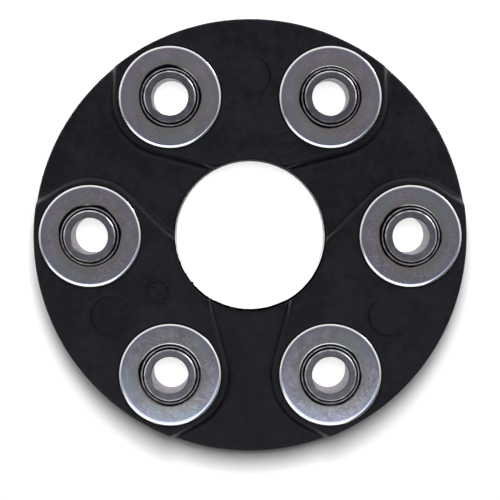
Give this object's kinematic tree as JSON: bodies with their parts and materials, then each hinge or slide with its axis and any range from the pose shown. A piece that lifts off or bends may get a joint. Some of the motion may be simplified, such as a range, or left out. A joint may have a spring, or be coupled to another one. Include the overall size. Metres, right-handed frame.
{
  "type": "flexible disc driveshaft coupling",
  "caption": "Rubber flex disc coupling with steel bolt sleeves and flanges on one bolt circle, cord loops inside and raised lobes on both faces, joining two shaft flanges.",
  "frame": {"origin": "on the disc's axis, in the plane of the sleeves' lower ends, which it rests on", "axes": "+Z up along the disc's axis out of its front face, +X through bolt sleeve 1, +Y up in the picture"},
  "size_m": [0.142, 0.142, 0.032],
  "materials": {
    "rubber": "moulded matt black rubber with a soft sheen",
    "flange_zinc": "clear zinc plating, mottled, with a faint yellow and violet tint",
    "sleeve_steel": "turned and zinc plated, with fine turning lines",
    "collar_steel": "plain pressed steel",
    "cord": "wound polyester cord"
  },
  "bodies": {
    "root": {"rubber_body": "rubber", "bolt_sleeve_1": "sleeve_steel", "bolt_sleeve_2": "sleeve_steel", "bolt_sleeve_3": "sleeve_steel", "bolt_sleeve_4": "sleeve_steel", "bolt_sleeve_5": "sleeve_steel", "bolt_sleeve_6": "sleeve_steel", "front_flange_1": "flange_zinc", "front_flange_2": "flange_zinc", "front_flange_3": "flange_zinc", "front_flange_4": "flange_zinc", "front_flange_5": "flange_zinc", "front_flange_6": "flange_zinc", "rear_flange_1": "flange_zinc", "rear_flange_2": "flange_zinc", "rear_flange_3": "flange_zinc", "rear_flange_4": "flange_zinc", "rear_flange_5": "flange_zinc", "rear_flange_6": "flange_zinc", "centre_collar_1": "collar_steel", "centre_collar_2": "collar_steel", "centre_collar_3": "collar_steel", "centre_collar_4": "collar_steel", "centre_collar_5": "collar_steel", "centre_collar_6": "collar_steel", "front_cord_loop_1": "cord", "front_cord_loop_2": "cord", "front_cord_loop_3": "cord", "rear_cord_loop_1": "cord", "rear_cord_loop_2": "cord", "rear_cord_loop_3": "cord"}
  },
  "joints": []
}
